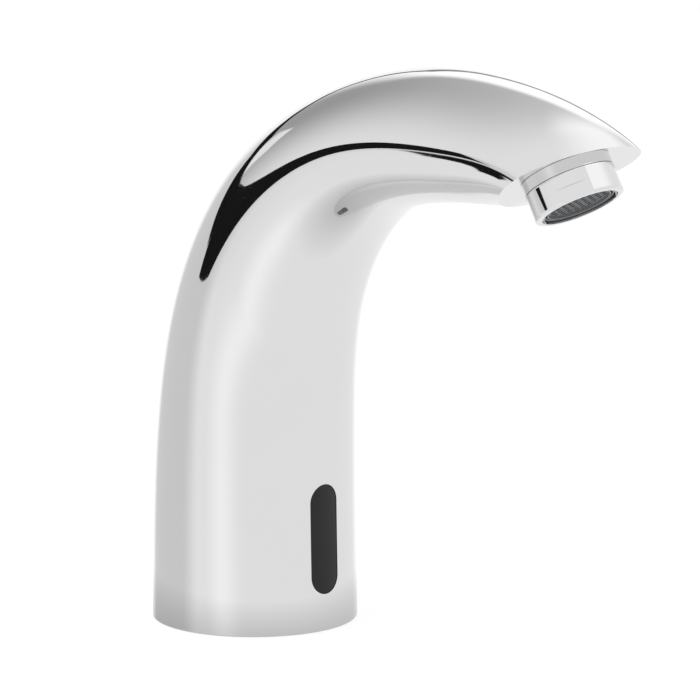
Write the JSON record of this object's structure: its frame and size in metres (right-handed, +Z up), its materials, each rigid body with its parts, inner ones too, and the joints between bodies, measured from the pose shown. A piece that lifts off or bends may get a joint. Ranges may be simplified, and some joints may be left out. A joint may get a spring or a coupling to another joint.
{
  "type": "sensor tap",
  "caption": "Touch-free basin tap: a tapering round column that bends forward into a flattened spout, with an infrared window in its foot and an aerator under the lip.",
  "frame": {"origin": "mouth of the stud hole in the middle of the base, in the plane of the deck", "axes": "+X the way the spout points, +Y to its left, +Z up"},
  "size_m": [0.1699, 0.0604, 0.1683],
  "materials": {
    "chrome": "mirror polished chrome plate",
    "brass": "turned brass",
    "steel": "plain stainless steel",
    "black_plastic": "fine matte moulding",
    "grey_plastic": "smooth moulding",
    "white_plastic": "smooth moulding",
    "window_plastic": "polished smoked infrared window",
    "rubber": "matte rubber",
    "circuit": "solder mask",
    "diode": "clear tinted epoxy",
    "tube_plastic": "milky tube"
  },
  "bodies": {
    "tap": {"spout_body": "chrome", "base_plate": "brass", "base_seal": "rubber", "foot_screws": "steel", "cable_grommet": "rubber", "inlet_fitting": "brass", "inlet_oring": "rubber", "inlet_strainer": "steel", "check_guide": "white_plastic", "check_spring": "steel", "valve_body": "black_plastic", "diaphragm": "rubber", "valve_cover": "black_plastic", "valve_screws": "steel", "plunger_spring": "steel", "core_tube": "steel", "fixed_core": "steel", "solenoid_coil": "black_plastic", "coil_yoke": "steel", "coil_nut": "steel", "water_tube": "tube_plastic", "clamp_lower": "steel", "clamp_upper": "steel", "outlet_nipple": "brass", "sensor_window": "window_plastic", "window_gasket": "rubber", "sensor_housing": "black_plastic", "sensor_board": "circuit", "ir_emitter": "diode", "ir_receiver": "diode", "status_led": "diode", "board_chip": "black_plastic", "lead_plug": "white_plastic", "valve_lead": "rubber", "sensor_bracket": "steel", "bracket_screws": "steel"},
    "plunger": {"plunger": "steel", "plunger_seal": "rubber"},
    "diaphragm_core": {"diaphragm_disc": "white_plastic"},
    "check_poppet": {"check_poppet": "white_plastic"},
    "cartridge": {"aerator_cup": "grey_plastic", "aerator_grid": "grey_plastic", "mixing_screens": "steel", "jet_plate": "white_plastic", "flow_regulator": "white_plastic", "regulator_oring": "rubber", "aerator_strainer": "white_plastic", "aerator_washer": "rubber"},
    "aerator": {"aerator_housing": "chrome"}
  },
  "joints": [
    {"name": "plunger_lift", "type": "slide", "parent": "tap", "child": "plunger", "axis": [0, 0, 1], "range_m": [0, 0.0015], "stiffness_N_per_m": 250, "springref_m": -0.002, "deforming": ["plunger_spring"]},
    {"name": "diaphragm_lift", "type": "slide", "parent": "tap", "child": "diaphragm_core", "axis": [0, 0, 1], "range_m": [0, 0.001], "deforming": ["diaphragm"]},
    {"name": "check_lift", "type": "slide", "parent": "tap", "child": "check_poppet", "axis": [0, 0, 1], "range_m": [0, 0.002], "stiffness_N_per_m": 80, "springref_m": -0.001, "deforming": ["check_spring"]},
    {"name": "aerator_out", "type": "slide", "parent": "tap", "child": "cartridge", "axis": [0.5, 0, -0.866], "range_m": [0, 0.0075]},
    {"name": "aerator_turn", "type": "hinge", "parent": "cartridge", "child": "aerator", "pos_m": [0.124, 0, 0.1425], "axis": [0.5, 0, -0.866], "range_deg": [0, 2700]}
  ],
  "couplings": [
    {"joint": "diaphragm_lift", "follows": "plunger_lift", "ratio": 0.66667},
    {"joint": "aerator_turn", "follows": "aerator_out", "rad_per_m": 6283.2}
  ]
}
